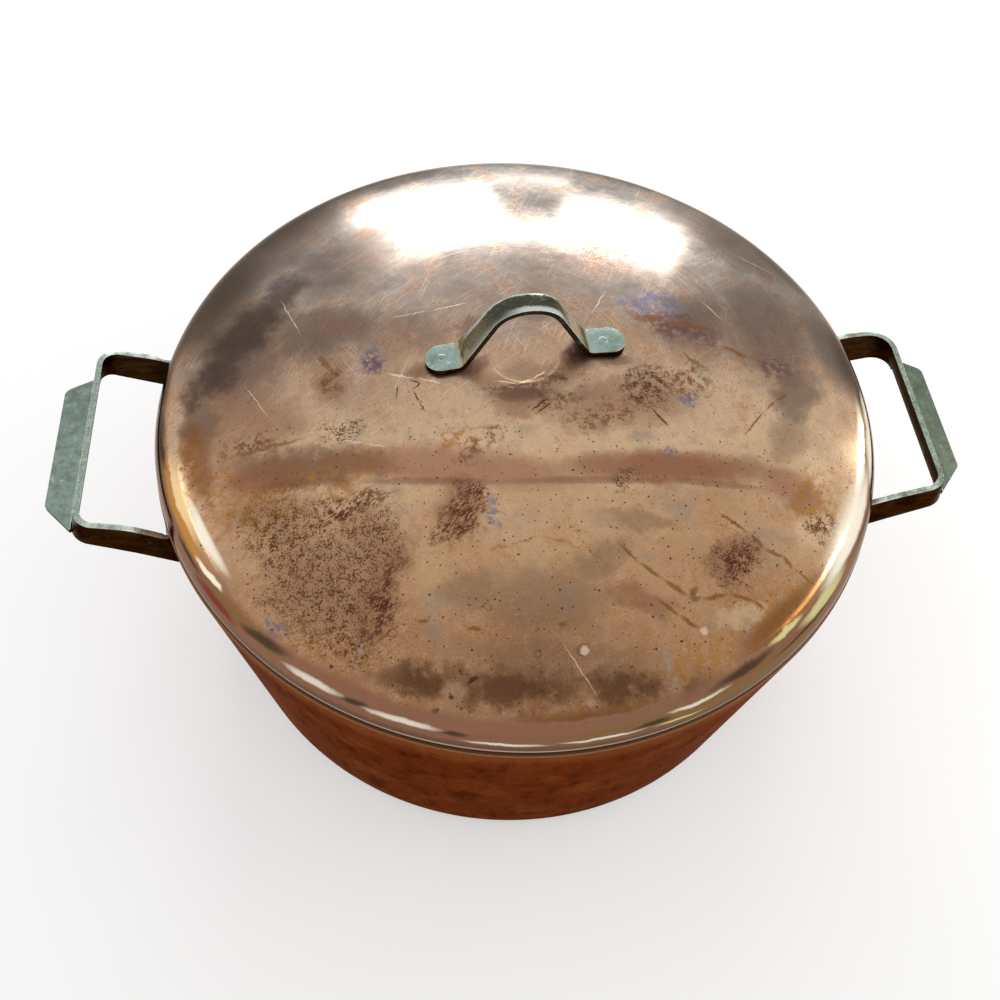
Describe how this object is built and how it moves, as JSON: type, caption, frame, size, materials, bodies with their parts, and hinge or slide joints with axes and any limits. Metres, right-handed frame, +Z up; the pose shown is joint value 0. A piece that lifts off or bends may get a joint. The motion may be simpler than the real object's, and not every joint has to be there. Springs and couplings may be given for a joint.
{
  "type": "stockpot",
  "caption": "Round copper pot with a tapered wall, riveted brass strap handles on its sides, and a lift-off domed lid with a small brass strap handle.",
  "frame": {"origin": "centre of the underside of the pot's base", "axes": "+Z up along the pot's axis, +X through the middle of the side handles"},
  "size_m": [0.3641, 0.2836, 0.1843],
  "materials": {
    "pot_copper": "tarnished copper, tinned inside",
    "lid_copper": "brushed and tarnished copper, tinned inside",
    "handle_brass": "tarnished brass, grey-green",
    "rivet_brass": "tarnished brass",
    "collar_tinned": "tinned copper, satin grey"
  },
  "bodies": {
    "pot": {"pot_body": "pot_copper", "handle_left": "handle_brass", "handle_right": "handle_brass", "rivet_left_1": "rivet_brass", "rivet_left_2": "rivet_brass", "rivet_left_3": "rivet_brass", "rivet_left_4": "rivet_brass", "rivet_right_1": "rivet_brass", "rivet_right_2": "rivet_brass", "rivet_right_3": "rivet_brass", "rivet_right_4": "rivet_brass"},
    "lid": {"lid_shell": "lid_copper", "lid_collar": "collar_tinned", "lid_handle": "handle_brass", "lid_rivet_1": "rivet_brass", "lid_rivet_2": "rivet_brass"}
  },
  "joints": [
    {"name": "lid_lift", "type": "slide", "parent": "pot", "child": "lid", "axis": [0, 0, 1], "range_m": [0, 0.15]}
  ]
}
